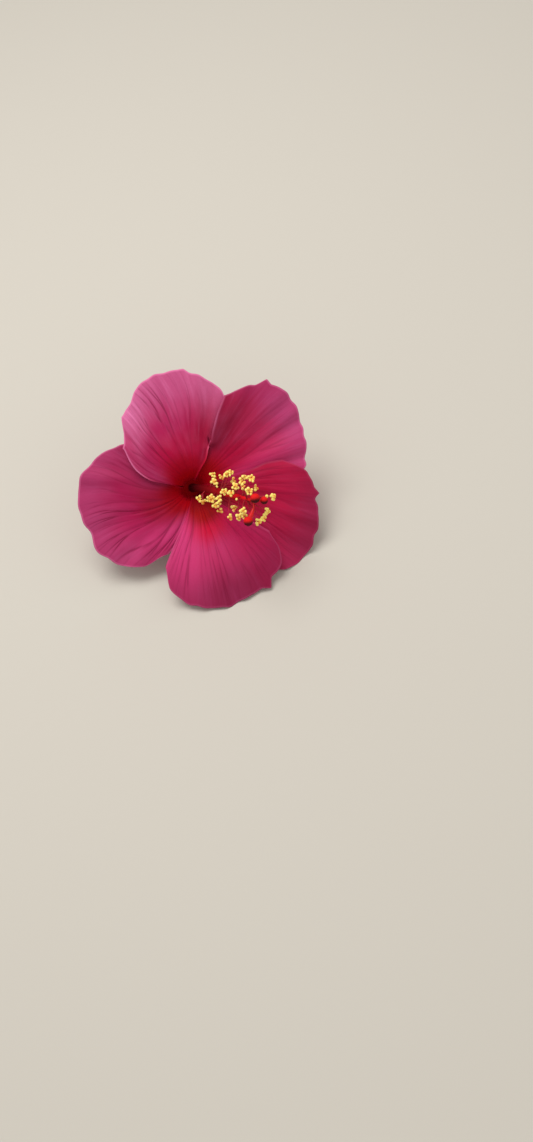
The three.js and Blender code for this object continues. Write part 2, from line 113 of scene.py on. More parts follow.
# edge: how light the edge is painted, a painted highlight.
# cw and ccw: bearings of the clockwise and the anticlockwise side at STATIONS.
# reach: distance of the rim from the axis, at even steps across. points: (bearing, height, half width).
# level: how far each side stands in front of the wall, at the throat and outside.
# lift: how far the rim is lifted. dome: how far the middle bulges forward. pleats: how high the pleats are.
# stops: colours at these distances from the axis. tints: clockwise side, anticlockwise side, rim.
# The side tints are partly painted light and shade: lighter or darker as the light falls on that side.
# rim: how pale the rim is at the clockwise half and the anticlockwise shoulder, partly a painted highlight.
# veins: how dark the veins are at the two sides. bend: how far they arc towards one side.
PETALS = {
    "petal_upper_right": {
        "cw": [12, 9, 7, 5, 4.5, 4, 4, 4],
        "ccw": [64.5, 66.5, 66.5, 68.3, 68, 70.3, 71.4, 70.8],
        "reach": [46, 53.5, 55.5, 57, 58.7, 60.2, 61.6, 62.7, 62.2, 59.5, 55.8, 50, 45.5],
        "points": [(55.5, 2.4, 3)],
        "level": ((-0.6, -0.7), (-0.65, 0.9)),
        "lift": 0,
        "dome": -0.8,
        "stops": [(6, "#ca000c"), (12, "#b0000e"), (24, "#b80a3e"), (42, "#bc2254"), (56, "#b83068")],
        "tints": ("#da3676", "#840e30", "#cc6298"),
        "rim": (0.25, 0.0),
        "edge": 0.35,
        "veins": (0.45, 0.25),
        "pleats": 0.5,
        "bend": -0.2,
    },
    "petal_upper_left": {
        "cw": [66.8, 65.6, 62.8, 67.2, 66.8, 65, 62, 62],
        "ccw": [168, 171.5, 171, 170.3, 166.5, 162.3, 150.5, 149],
        "reach": [38, 44.9, 49, 51.8, 53.9, 55, 55.2, 54.4, 51.9, 48.2, 44.8, 39.6, 37],
        "points": [(94, 0.7, 3), (135, 1.7, 6)],
        "level": ((0.65, -0.6), (0.65, 0.8)),
        "lift": -2,
        "dome": 1.6,
        "stops": [(6, "#be000c"), (12, "#bc0028"), (20, "#c20a46"), (32, "#bc205c"), (48, "#ba3870")],
        "tints": ("#a60e3a", "#b4285e", "#f68cc4"),
        "rim": (0.32, 0.75),
        "edge": 0.7,
        "veins": (0.4, 1.0),
        "pleats": 0.7,
        "bend": 1.5,
    },
    "petal_left": {
        "cw": [175, 168, 163, 158, 153.5, 149, 142, 142],
        "ccw": [262, 264, 263.5, 261, 257.8, 254.5, 248, 247],
        "reach": [35, 39.8, 45.6, 49.8, 53, 54.2, 54.2, 52.4, 54.2, 51.7, 48.7, 43.8, 33],
        "points": [],
        "level": ((-0.65, -0.7), (-0.65, -0.7)),
        "lift": -7,
        "dome": 0,
        "stops": [(6, "#c6000a"), (12, "#a00016"), (20, "#9c0630"), (32, "#a80f4a"), (50, "#b03266")],
        "tints": ("#a62656", "#d43878", "#dc68a4"),
        "rim": (0.08, 0.16),
        "edge": 0.4,
        "veins": (0.8, 1.0),
        "pleats": 1.2,
        "bend": 0.25,
    },
    "petal_bottom": {
        "cw": [266, 262, 258, 255, 253.6, 252.3, 251.4, 251.4],
        "ccw": [334, 333, 332, 331, 331, 331, 331.3, 331],
        "reach": [38.8, 48.2, 52.2, 54.5, 56.2, 56.9, 57.2, 56.6, 56.7, 55.8, 55, 50.4, 41],
        "points": [(308.5, 2.2, 3.5)],
        "level": ((0.65, 0.7), (0.65, 0.8)),
        "lift": 5,
        "dome": 1.6,
        "stops": [(7, "#880006"), (15, "#a40004"), (21, "#cc0438"), (31, "#c63068"), (52, "#8e1a42")],
        "tints": ("#d83c7c", "#c01652", "#c04880"),
        "rim": (0.1, 0.0),
        "edge": 0.16,
        "veins": (0.9, 0.55),
        "pleats": 1.1,
        "bend": -0.2,
    },
    "petal_right": {
        "cw": [338, 332, 326, 321, 319, 317, 313, 309],
        "ccw": [368, 371, 373.5, 375, 376.4, 377.7, 379.3, 377.5],
        "reach": [45, 53, 58.8, 61.8, 62.4, 62, 62, 60, 58.2, 57, 54.8, 50.8, 44],
        "points": [(357.7, 2.0, 3)],
        "level": ((-0.65, -0.7), (0.6, 0.8)),
        "lift": 2,
        "dome": -0.6,
        "stops": [(6, "#a80008"), (13, "#740006"), (26, "#a80022"), (42, "#b60e40"), (60, "#96163e")],
        "tints": ("#e63470", "#b61242", "#bc4478"),
        "rim": (0.1, 0.0),
        "edge": 0.12,
        "veins": (0.5, 0.5),
        "pleats": 1.1,
        "bend": -0.15,
    },
}
# A short slit beside the upper left petal's clockwise margin: (distance from the axis, bearing) of its ends.
SLIT = ((21.6, 67.2), (25.6, 73.6))
SLIT_SIZE = {"half_width": 0.32, "depth": 0.9}
# The tissue's patterns on a petal of this width: how wide and how long, in mm, are a streak of colour, a pale
# cloud, a pale spell in the veins and a mesh of the finest net.
PATTERN_WIDTH = 50
PATTERNS = {"streak": (1.0, 18.2), "cloud": (7.14, 16.7), "spell": (2.083, 14.3), "net": (0.833, 2.0)}
# How far apart the patterns of two petals start, so that no two petals are alike.
PATTERN_SHIFT = (15, 7.3)
SKIN_CELL = 0.4
# What each point of a petal's mesh knows about its place, for the material.
PETAL_PLACES = ("axis_mm", "margin_mm", "side", "share", "vein", "fork", "second_fork")
PETAL_PLACES += ("vein_gap_mm", "vein_strength", "slit", "back")

# ------------------------------------------------------------------ stamens and pistil

# The column's middle line is a curve with these four control points.
COLUMN_LINE = [(0, 0, -0.2), (0, 0.3, 18), (6, 0.2, 38), (18.5, -3.2, 50)]
# The column's radii, and the heights between which its foot flares.
COLUMN = {"foot": 4.6, "root": 3.15, "neck": 1.9, "tip": 1.45, "neck_at": 0.17, "flare": (3.2, 0.6)}
COLUMN_RIBS = 0.03
# The sleeve that the column draws out round the style.
SLEEVE = {"length": 8.5, "tip": 0.7}
# How bright the column's red is at these distances along it, from 0 to 1: painted shade makes it nearly black
# in the throat.
COLUMN_RED_AND_SHADE = {"way": [0, 5, 9, 16, 24, 40, 62], "red": [0.6, 0.5, 0.0, 0.0, 0.15, 0.34, 0.9]}
# Stamens leave the column beyond this way along it. A filament is about this long, leans forward by about
# this many degrees, and ends at least this far in front of the petals.
STAMEN_ZONE = 30
FILAMENT_LENGTH = 7.2
FILAMENT_FORWARD = 30
CLEAR_OF_WALL = 2.6
# A filament's radius at its root and at its tip, as shares of the free filament's.
FILAMENT_TAPER = (1.4, 0.9)
# Heights at which an anther may stand.
ANTHER_HEIGHTS = np.arange(22, 66, 0.5)
# Each anther as the photograph shows it: pixel, number of pollen beads, and 1 for the column's near side.
ANTHER_PIXELS = [
    (212.9, 474.0, 5, 1),
    (214.1, 481.7, 6, 1),
    (217.0, 486.6, 1, 0),
    (221.2, 477.4, 4, 0),
    (226.4, 474.6, 6, 1),
    (230.6, 472.6, 6, 1),
    (233.4, 480.0, 4, 0),
    (235.3, 486.4, 7, 1),
    (241.9, 481.4, 7, 1),
    (244.6, 476.6, 5, 1),
    (251.0, 478.2, 8, 1),
    (243.2, 486.4, 3, 0),
    (248.9, 490.8, 8, 1),
    (256.0, 487.4, 4, 0),
    (224.2, 491.6, 6, 1),
    (231.0, 493.0, 6, 1),
    (199.0, 498.8, 5, 1),
    (203.2, 501.7, 4, 0),
    (210.8, 498.4, 11, 1),
    (219.2, 497.8, 4, 1),
    (219.6, 502.0, 4, 1),
    (215.4, 505.2, 5, 1),
    (219.6, 510.4, 4, 0),
    (229.7, 517.2, 4, 0),
    (234.4, 508.2, 5, 0),
    (242.9, 510.2, 5, 1),
    (238.8, 516.8, 7, 1),
    (244.2, 515.2, 5, 1),
    (236.3, 499.1, 1, 1),
    (266.2, 496.1, 1, 1),
    (272.6, 496.6, 7, 1),
    (267.6, 511.2, 7, 1),
    (263.4, 518.0, 6, 1),
    (258.2, 521.8, 7, 1),
]
# A clump's beads lie in a spiral: the turn from bead to bead in degrees, its reach and rise in bead radii.
CLUMP = {"turn": 137.5, "reach": 0.9, "rise": 0.75}
# The style's radius, its radius where it parts, and how far it runs free of the column.
PISTIL = {"style": 0.62, "fork": 0.85, "free": 11}
# The style parts into five branches: (bearing round the style, spread from it, length, radius of its stigma).
# Seen from the camera, the last two lie behind the first two.
BRANCHES = [
    (148, 35, 5.8, 2.1),
    (32, 18, 6.6, 1.7),
    (-107, 74, 9.9, 2.1),
    (5, 110, 5.8, 1.5),
    (-2, 90, 9.3, 1.3),
]
# A branch's radii, and the share of its length that it runs straight on before it bends away.
BRANCH = {"root": 0.66, "middle": 0.42, "straight": 0.45}
# Painted light and shade: the side of each stigma that is turned up, in the blossom's frame, is painted
# brighter.
STIGMA_UP = (-0.15, 0.95, 0.15)
# Papillae: blunt bumps all over a stigma, from waves that cross it along these directions.
PAPILLAE = {"waves": 41, "height": 0.014}
PAPILLA_AXES = ((1, 0.2, 0.1), (0.1, 1, 0.3), (0.2, -0.1, 1), (0.7, 0.7, -0.4))

# ------------------------------------------------------------------ calyx, bracts and stalk

# The calyx's wall from its root to the tips of the lobes: (radius, height).
CALYX_WALL = [(5.45, -0.4), (6.3, 3), (7.2, 8), (8.3, 13), (10.6, 17), (14.2, 19.6)]
CALYX = {"lobes": 5, "notch_at": 0.62, "thickness": 0.7, "first_lobe": 30}
CALYX_RIBS = {"count": 15, "height": 0.12}
CALYX_FLOOR = {"inner": 3.5, "outer": 5.6, "top": 0.4, "bottom": -0.8}
# A bract leans away from the axis by these degrees at its root and at its tip.
BRACTS = {"count": 7, "length": 13, "width": 2.3, "thickness": 0.75, "lean": (82, 32), "first": 12}
KEEL = 0.25
COLLAR = {"inner": 3.75, "outer": 5.0, "top": -1.25, "bottom": -2.5}
STALK = {"length": 11, "radius": 1.5, "receptacle": 3.4, "disc": 2, "top": -0.6, "bevel": 0.12}
# The stalk between its cut end and the receptacle: (share of its length below the top, share of its radius).
STALK_FORM = [(0.75, 0.9), (0.45, 0.95), (0.28, 1.5)]

# ------------------------------------------------------------------ how finely the pieces are made

SIDES = {"tube": 40, "filament": 8, "style": 16, "branch": 14, "ring": 96, "stalk": 48}
STEPS = {"column": 60, "sleeve": 16, "filament": 12, "style": 12, "branch": 18}
# Rows along and columns across a grid of points.
CALYX_GRID = (48, 200)
BRACT_GRID = (26, 8)
# How often an icosahedron is divided into a ball.
BALL = {"bead": 3, "stigma": 5}


# ================================================================== small tools


def linear(hexcode):
    """Turns an sRGB hex colour into linear RGBA."""
    channels = [int(hexcode[k : k + 2], 16) / 255 for k in (1, 3, 5)]
    return tuple(c / 12.92 if c <= 0.04045 else ((c + 0.055) / 1.055) ** 2.4 for c in channels) + (1.0,)


def smooth(x, low, high):
    """Smooth step from 0 at low to 1 at high."""
    t = np.clip((np.asarray(x, float) - low) / (high - low), 0, 1)
    return t * t * (3 - 2 * t)


def mix(a, b, share):
    return a + (b - a) * share


def spline(values, share):
    """Catmull-Rom line through evenly spaced numbers, read at share 0..1."""
    values = np.asarray(values, float)
    last = len(values) - 1
    at = np.clip(share, 0, 1) * last
    k = np.minimum(np.floor(at).astype(int), last - 1)
    f = at - k
    a, b, c, d = (values[np.clip(k + n, 0, last)] for n in (-1, 0, 1, 2))
    return b + 0.5 * f * (c - a + f * (2 * a - 5 * b + 4 * c - d + f * (3 * (b - c) + d - a)))


def waves(pattern, share, phase=1):
    """Sine waves laid over each other, each given by its count, height and shift."""
    return sum(height * np.sin(2 * np.pi * count * share + shift * phase) for count, height, shift in pattern)


def unit(vectors):
    """The same directions with a length of 1."""
    return vectors / np.maximum(np.linalg.norm(vectors, axis=-1, keepdims=True), 1e-12)


def arc(start, bend, end, count):
    """Points of a curve that leaves its start towards bend and reaches its end from there."""
    t = np.linspace(0, 1, count)[:, None]
    return start * (1 - t) ** 2 + 2 * bend * t * (1 - t) + end * t**2


def shares(rows, columns):
    """Even steps from 0 to 1 along the rows and across the columns of a grid of points."""
    return np.meshgrid(np.linspace(0, 1, rows + 1), np.linspace(0, 1, columns + 1), indexing="ij")


def draw(n):
    """A repeatable draw between 0 and 1."""
    wild = math.sin(n * 12.9898 + 8.7621) * 43758.5453
    return wild - math.floor(wild)


def rounded(values, sigma, step):
    """A line of values at even steps with its corners rounded off over sigma."""
    reach = int(3 * sigma / step)
    weights = np.exp(-0.5 * (np.arange(-reach, reach + 1) * step / sigma) ** 2)
    padded = np.pad(values, reach, mode="edge")
    return np.convolve(padded, weights / weights.sum(), mode="valid")


# ================================================================== the corolla's shape


def wall_lean(way):
    leans = np.array(WALL, float)
    return np.radians(np.interp(way, leans[:, 0], leans[:, 1]))


def wall_table():
    """The common wall as columns: way along it, radius and height."""
    way, radius, height = [0.0], [WALL_ROOT[0]], [WALL_ROOT[1]]
    while way[-1] < WALL[-1][0]:
        lean = wall_lean(way[-1])
        radius.append(radius[-1] + WALL_STEP * math.sin(lean))
        height.append(height[-1] + WALL_STEP * math.cos(lean))
        way.append(way[-1] + WALL_STEP)
    return np.array(way), np.array(radius), np.array(height)


WAY, RADIUS, HEIGHT = wall_table()
RADII_STEP = 0.25
RADII = np.arange(3, 75, RADII_STEP)


def ruffle(way, bearing):
    """The waves that all five rims share, so that overlapping petals wave together."""
    growing = smooth(way, RUFFLE["start"], RUFFLE["full"])
    return RUFFLE["height"] * waves(RUFFLE_WAVES, bearing / 360) * growing


def slit_depth(radius, bearing):
    """1 in the middle of the slit, 0 away from it."""
    a = np.radians(bearing)
    x, y = radius * np.cos(a), radius * np.sin(a)
    (x0, y0), (x1, y1) = ((r * math.cos(math.radians(b)), r * math.sin(math.radians(b))) for r, b in SLIT)
    length = math.hypot(x1 - x0, y1 - y0)
    along = ((x - x0) * (x1 - x0) + (y - y0) * (y1 - y0)) / length
    beside = ((x - x0) * (y1 - y0) - (y - y0) * (x1 - x0)) / length
    taper = smooth(along, -0.4, 0.8) * smooth(along, length, length - 2.5)
    return np.exp(-((beside / SLIT_SIZE["half_width"]) ** 2)) * taper


def petal_sides(petal, radius, rounding):
    """Bearings of a petal's two sides at a distance from the axis, their corners rounded off."""
    lines = (np.interp(RADII, STATIONS, petal[key]) for key in ("cw", "ccw"))
    return [np.interp(radius, RADII, rounded(line, rounding, RADII_STEP)) for line in lines]


def petal_rim(petal, side, phase, scallop):
    """Distance of a petal's rim from the axis, with its points and scallops."""
    bearing = mix(petal["cw"][-1], petal["ccw"][-1], side)
    rim = spline(petal["reach"], side)
    for at, height, width in petal["points"]:
        rim = rim + height * np.clip(1 - np.abs(bearing - at) / width, 0, 1) ** 1.3
    return rim + scallop * waves(SCALLOP_WAVES, side, phase) * smooth(np.minimum(side, 1 - side), 0, 0.1)


def petal_level(petal, radius, way, side):
    """How far a petal stands in front of the common wall, so that it lies over or under its neighbours."""
    # A side that changes places with its neighbour does so sharply at its margin and gently further in.
    turn_at, turn_half = LEVEL_TURN
    turn_half = turn_half + 10 * smooth(np.minimum(side, 1 - side), 0.03, 0.3)
    turn = smooth((radius - turn_at) / turn_half, -1, 1)
    levels = [mix(inner, outer, turn) for inner, outer in petal["level"]]
    spreading = 0.35 + 0.65 * smooth(way, 0, 9) + 0.9 * smooth(way, 24, 70)
    return mix(*levels, smooth(side, 0.22, 0.78)) * spreading


def petal_fan(petal, radius, bearing, share):
    """The way across a petal, 0..1, and its width in mm.

    It is free of the wiggles of the two sides, so that the veins run smoothly out of the throat."""
    cw, ccw = petal_sides(petal, radius, ROUNDING["veins"])
    straight = (bearing - cw) / (ccw - cw)
    fan = np.clip(straight, 0, 1)
    bend = 1 + abs(petal["bend"]) * share**1.6
    arced = fan**bend if petal["bend"] > 0 else 1 - (1 - fan) ** bend
    return arced + straight - fan, np.radians(ccw - cw) * radius


def petal_surface(name, share, side, detail):
    """Points of a petal's middle surface in mm, and the places that its material reads."""
    petal = PETALS[name]
    seed = list(PETALS).index(name)
    phase = 2.4 * seed + 1
    rim = petal_rim(petal, side, phase, detail["scallop"])
    way = np.interp(rim, RADIUS, WAY) * share
    radius = np.interp(way, WAY, RADIUS)
    bearing = mix(*petal_sides(petal, radius, ROUNDING["side"]), side)
    middle = np.clip(1 - ((2 * side - 1) / 0.75) ** 2, 0, None) ** 2
    forward = petal_level(petal, radius, way, side) + petal["dome"] * middle * smooth(way, 18, 55)
    forward = forward + ruffle(way, bearing)

    # The veins wander, lie unevenly apart, and differ in strength. Pleats run along them.
    fan, width = petal_fan(petal, radius, bearing, share)
    wander = 0.010 * np.sin(9 * fan + 5 * share + phase) + 0.006 * np.sin(23 * fan - 9 * share + 2 * phase)
    vein = (fan + wander) * detail["veins"] + 0.33 * np.sin(2 * np.pi * 2.3 * fan + 3 * phase)
    vein_strength = 0.3 + 0.7 * np.mod(np.abs(np.sin(np.round(vein) * 12.9898 + phase) * 4375.85), 1)
    pleats = np.cos(2 * np.pi * vein) * vein_strength * smooth(way, 9, 26) * (1 - 0.6 * smooth(way, 40, 62))
    forward = forward - detail["pleat"] * petal["pleats"] * pleats
    # Soft folds run in from the margin.
    forward = forward + detail["crimp"] * waves(FOLD_WAVES, side, phase) * smooth(share, 0.6, 1.0)
    slit = slit_depth(radius, bearing) if name == "petal_upper_left" else np.zeros(share.shape)
    forward = forward - SLIT_SIZE["depth"] * slit

    beside, beyond = (seed * shift for shift in PATTERN_SHIFT)
    lean = wall_lean(way)
    out = radius - np.cos(lean) * forward
    height = np.interp(way, WAY, HEIGHT) + np.sin(lean) * forward + petal["lift"] * smooth(way, *LIFT)
    a = np.radians(bearing)
    points = np.stack([out * np.cos(a), out * np.sin(a), height], -1)
    margin = np.minimum(way / np.maximum(share, 0.02) * (1 - share), np.minimum(side, 1 - side) * width)
    places = {
        "axis_mm": out,
        "margin_mm": margin,
        "side": side,
        "share": share,
        "vein": vein,
        "fork": 0.25 * smooth(share + 0.05 * np.sin(7 * np.floor(vein)), 0.38, 0.9),
        "second_fork": 0.125 * smooth(share + 0.06 * np.sin(11 * np.floor(vein)), 0.62, 1.1),
        "vein_gap_mm": width / detail["veins"],
        "vein_strength": vein_strength,
        "slit": slit,
        "tissue": np.stack([fan * PATTERN_WIDTH + beside, way, np.full(share.shape, beyond)], -1),
    }
    return points, places


def grid_normals(points):
    """Unit normals of a grid of points, out of the side that faces the blossom's front."""
    return unit(np.cross(np.gradient(points, axis=0), np.gradient(points, axis=1)))


# ================================================================== meshes


def grow(name, form, material, slot, *nodes):
    """Makes a piece of a form drawn in the blossom's frame, and lays it on the table in its solid's place.

    A form is vertices, faces, and the values at each vertex that the material reads. What would sink into the
    table bends up instead, so that the lowest tips press softly on it."""
    vertices, faces, values = form
    mesh = bpy.data.meshes.new(name)
    mesh.from_pydata(np.asarray(vertices, float).tolist(), [], faces)
    for key, value in values.items():
        value = np.asarray(value, np.float32)
        vector = value.size > len(vertices)
        made = mesh.attributes.new(key, "FLOAT_VECTOR" if vector else "FLOAT", "POINT")
        made.data.foreach_set("vector" if vector else "value", value.ravel())
    mesh.transform(TO_TABLE)
    places = np.empty(len(vertices) * 3, np.float32)
    mesh.vertices.foreach_get("co", places)
    height = places[2::3]
    pressed = CONTACT * np.exp(np.minimum(height / CONTACT, 1) - 1)
    places[2::3] = np.where(height < CONTACT, pressed, height)
    mesh.vertices.foreach_set("co", places)
    mesh.update()
    mesh.polygons.foreach_set("use_smooth", [True] * len(mesh.polygons))
    mesh.materials.append(material)
    piece = bpy.data.objects.new(name, mesh)
    bpy.context.scene.collection.objects.link(piece)
    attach(piece, "root")
    if nodes:
        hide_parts(*nodes)


def blade_faces(rows, columns, closed=False):
    """Faces of a thin blade whose front grid of points is followed by its back grid."""
    index = np.arange(rows * columns).reshape(rows, columns)
    right = np.roll(index, -1, 1) if closed else index[:, 1:]
    left = index if closed else index[:, :-1]
    shift = rows * columns
    front = np.stack([left[:-1], left[1:], right[1:], right[:-1]], -1).reshape(-1, 4)
    edges = [(left[0], right[0]), (right[-1], left[-1])]
    if not closed:
        edges += [(index[1:, 0], index[:-1, 0]), (index[:-1, -1], index[1:, -1])]
    strips = [np.stack([a, b, b + shift, a + shift], -1) for a, b in edges]
    return np.concatenate([front, front[:, ::-1] + shift, *strips]).tolist()


def blade(middle, thickness, places, closed=False):
    """The form of a thin closed blade round a grid of points, with the places of its front and back."""
    rows, columns = middle.shape[:2]
    padded = np.concatenate([middle[:, -1:], middle, middle[:, :1]], 1) if closed else middle
    normal = grid_normals(padded)[:, 1:-1] if closed else grid_normals(padded)
    half = normal * np.asarray(thickness, float)[..., None] / 2
    vertices = np.stack([middle + half, middle - half]).reshape(-1, 3)
    values = {key: np.stack([value, value]) for key, value in places.items()}
    values["back"] = np.repeat([0.0, 1.0], rows * columns)
    return vertices, blade_faces(rows, columns, closed), values


class Sprout:
    """Collects closed parts of one form: vertices, faces and one value for each vertex, which the material
    reads.
    """

    def __init__(self):
        self.vertices, self.faces, self.values = [], [], []

    def add(self, vertices, faces, values):
        shift = len(self.vertices)
        self.vertices.extend(vertices)
        self.faces.extend([[v + shift for v in face] for face in faces])
        self.values.extend(np.broadcast_to(values, (len(vertices),)).tolist())

    def bar(self, points, radii, sides, values=None, ribs=0.0):
        """A round bar along points, with five shallow ribs if asked, its values running from 0 to 1."""
        tangents = unit(np.gradient(points, axis=0))
        across = unit(np.cross([0.0, 1.0, 0.0], tangents))
        above = np.cross(tangents, across)
        turn = np.arange(sides) * 2 * np.pi / sides
        out = np.cos(turn)[:, None, None] * across + np.sin(turn)[:, None, None] * above
        swell = (1 + ribs * np.cos(5 * turn))[:, None, None]
        rings = (points + out * radii[:, None] * swell).transpose(1, 0, 2)
        vertices = list(rings.reshape(-1, 3)) + [points[0], points[-1]]
        top = (len(points) - 1) * sides
        ring = [(j, (j + 1) % sides) for j in range(sides)]
        lows = range(0, top, sides)
        faces = [[low + j, low + k, low + sides + k, low + sides + j] for low in lows for j, k in ring]
        faces += [[len(vertices) - 2, k, j] for j, k in ring]
        faces += [[len(vertices) - 1, top + j, top + k] for j, k in ring]
        share = np.linspace(0, 1, len(points)) if values is None else values
        self.add(vertices, faces, np.concatenate([np.repeat(share, sides), [share[0], share[-1]]]))

    def ring(self, size):
        """A flat ring round the axis."""
        inner, outer, top, bottom = (size[key] for key in ("inner", "outer", "top", "bottom"))
        outline = [(inner, bottom), (outer, bottom), (outer, top), (inner, top)]
        self.add(*revolve(outline, SIDES["ring"], closed=True), 0.0)

    def form(self):
        return self.vertices, self.faces, {"along": self.values}


def ball(subdivisions):
    """Unit icosphere as vertices and faces."""
    made = bmesh.new()
    bmesh.ops.create_icosphere(made, subdivisions=subdivisions, radius=1)
    vertices = np.array([v.co for v in made.verts])
    faces = [[v.index for v in f.verts] for f in made.faces]
    made.free()
    return vertices, faces


def revolve(outline, sides, closed=False):
    """Turns an outline of (radius, height) round the axis, its ends on the axis unless it is closed."""
    vertices, faces, rings = [], [], []
    turn = np.arange(sides) * 2 * np.pi / sides
    for radius, height in outline:
        if radius == 0:
            rings.append([len(vertices)] * sides)
            vertices.append((0.0, 0.0, height))
        else:
            rings.append(list(range(len(vertices), len(vertices) + sides)))
            vertices.extend((radius * math.cos(a), radius * math.sin(a), height) for a in turn)
    pairs = list(zip(rings, rings[1:] + rings[:1] if closed else rings[1:]))
    for low, high in pairs:
        for j in range(sides):
            face = [low[j], low[(j + 1) % sides], high[(j + 1) % sides], high[j]]
            faces.append(list(dict.fromkeys(face)))
    return vertices, faces


# ================================================================== stamens' and pistil's shape


def line_frame(at, forward):
    """A place on a line with its direction and two directions across it."""
    forward = unit(forward)
    across = unit(np.cross([0.0, 1.0, 0.0], forward))
    return {"at": at, "forward": forward, "across": across, "above": np.cross(forward, across)}


def around(place, degrees):
    a = math.radians(degrees)
    return place["across"] * math.cos(a) + place["above"] * math.sin(a)


def column_line():
    """Points along the column and its sleeve, with their distance along it and the radius there."""
    a, b, c, d = (np.asarray(p, float) for p in COLUMN_LINE)
    t = np.linspace(0, 1, STEPS["column"] + 1)[:, None]
    points = a * (1 - t) ** 3 + 3 * b * t * (1 - t) ** 2 + 3 * c * t**2 * (1 - t) + d * t**3
    sleeve = d + unit(d - c) * np.linspace(0.5, SLEEVE["length"], STEPS["sleeve"])[:, None]
    points = np.concatenate([points, sleeve])
    way = np.concatenate([[0], np.cumsum(np.linalg.norm(np.diff(points, axis=0), axis=1))])
    share = np.concatenate([t[:, 0], np.full(len(sleeve), 1.0)])
    past = np.clip((way - way[STEPS["column"]]) / SLEEVE["length"], 0, 1)
    necked = mix(COLUMN["root"], COLUMN["neck"], smooth(share, 0, COLUMN["neck_at"]))
    radius = mix(mix(necked, COLUMN["tip"], share), SLEEVE["tip"], past**0.45)
    radius = radius + (COLUMN["foot"] - COLUMN["root"]) * smooth(points[:, 2], *COLUMN["flare"])
    return points, way, radius


def room_at_wall(point):
    """How far a point is in front of the petals' common wall."""
    out = math.hypot(point[0], point[1])
    k = int(np.argmin(np.hypot(RADIUS - out, HEIGHT - point[2])))
    lean = wall_lean(WAY[k])
    return (RADIUS[k] - out) * math.cos(lean) + (point[2] - HEIGHT[k]) * math.sin(lean)


def at_pixel(pixel, height):
    """The point in the blossom's frame that a pixel of the photograph shows, at a height."""
    scale = CAMERA_AWAY / MM_PER_PIXEL / (CAMERA_AWAY + FOCUS_HEIGHT - height)
    return np.array([(pixel[0] - THROAT_PIXEL[0]) / scale, (THROAT_PIXEL[1] - pixel[1]) / scale, height])


def stamen_plan(n, pixel, near, points, way):
    """Root and tip of the stamen whose anther shows at a pixel, and the column's direction at its root."""
    tangents = unit(np.gradient(points, axis=0))
    usable = way > STAMEN_ZONE
    want = FILAMENT_LENGTH + 2 * (draw(n + 200) - 0.5)
    best = None
    for height in ANTHER_HEIGHTS:
        tip = at_pixel(pixel, height)
        if room_at_wall(tip) < CLEAR_OF_WALL:
            continue
        span = tip - points
        length = np.linalg.norm(span, axis=1)
        forward = np.degrees(np.arcsin(np.clip(np.sum(span * tangents, 1) / length, -1, 1)))
        cost = ((length - want) / 2) ** 2 + ((forward - FILAMENT_FORWARD) / 16) ** 2
        cost = np.where(usable, cost, np.inf) + (1 - 2 * near) * height / 12
        k = int(np.argmin(cost))
        if best is None or cost[k] < best[0]:
            best = (cost[k], points[k], tip, tangents[k])
    if best is None:
        raise RuntimeError(f"anther {n} has no room in front of the petals")
    return best[1:]


def bead_clump(n, count, direction, size):
    """Places of the pollen beads of one anther round its middle: a sunflower spiral, shaken a little."""
    place = line_frame(np.zeros(3), mix(direction, np.array([0.1, 0.2, 1.0]), 0.5))
    made = []
    for k in range(count):
        turn = CLUMP["turn"] * k + 360 * draw(n + 1600)
        reach = 0.0
        if count > 1:
            reach = size * (CLUMP["reach"] * math.sqrt(k + 0.55) + 0.25 * (draw(n * 11 + k + 1800) - 0.5))
        rise = size * 2 * CLUMP["rise"] * (draw(n * 13 + k + 1900) - 0.5) - 0.12 * reach
        made.append(around(place, turn) * reach + place["forward"] * rise)
    return np.array(made)


def fork(points):
    """The place where the style parts into its branches."""
    forward = unit(points[-1] - points[-2])
    return line_frame(np.array(COLUMN_LINE[-1]) + forward * PISTIL["free"], forward)


def branch_points(branch, place):
    bearing, spread, length, _ = branch
    lean = math.radians(spread)
    away = place["forward"] * math.cos(lean) + around(place, bearing) * math.sin(lean)
    bend = place["at"] + place["forward"] * length * BRANCH["straight"]
    return arc(place["at"], bend, place["at"] + away * length, STEPS["branch"])


# ================================================================== materials


def add(tree, kind, *values, sockets=None, output=0, **settings):
    """Adds a shader node, fills its open inputs in order and others by name, and returns one output."""
    node = tree.nodes.new("ShaderNode" + kind)
    for key, value in settings.items():
        setattr(node, key, value)
    pairs = list(zip([socket for socket in node.inputs if socket.enabled], values))
    pairs += [(node.inputs[name], value) for name, value in (sockets or {}).items()]
    for socket, value in pairs:
        if isinstance(value, bpy.types.NodeSocket):
            tree.links.new(value, socket)
        elif value is not None:
            socket.default_value = value
    outputs = [socket for socket in node.outputs if socket.enabled]
    return outputs[output] if outputs else node


# Settings that many nodes share.
EASED = {"interpolation_type": "SMOOTHSTEP"}
TIMES = {"operation": "MULTIPLY"}
TINT = {"data_type": "RGBA"}
SHADE = {"data_type": "RGBA", "blend_type": "MULTIPLY"}


def new_material(name):
    material = bpy.data.materials.new(name)
    material.use_nodes = True
    material.node_tree.nodes.clear()
    return material, material.node_tree


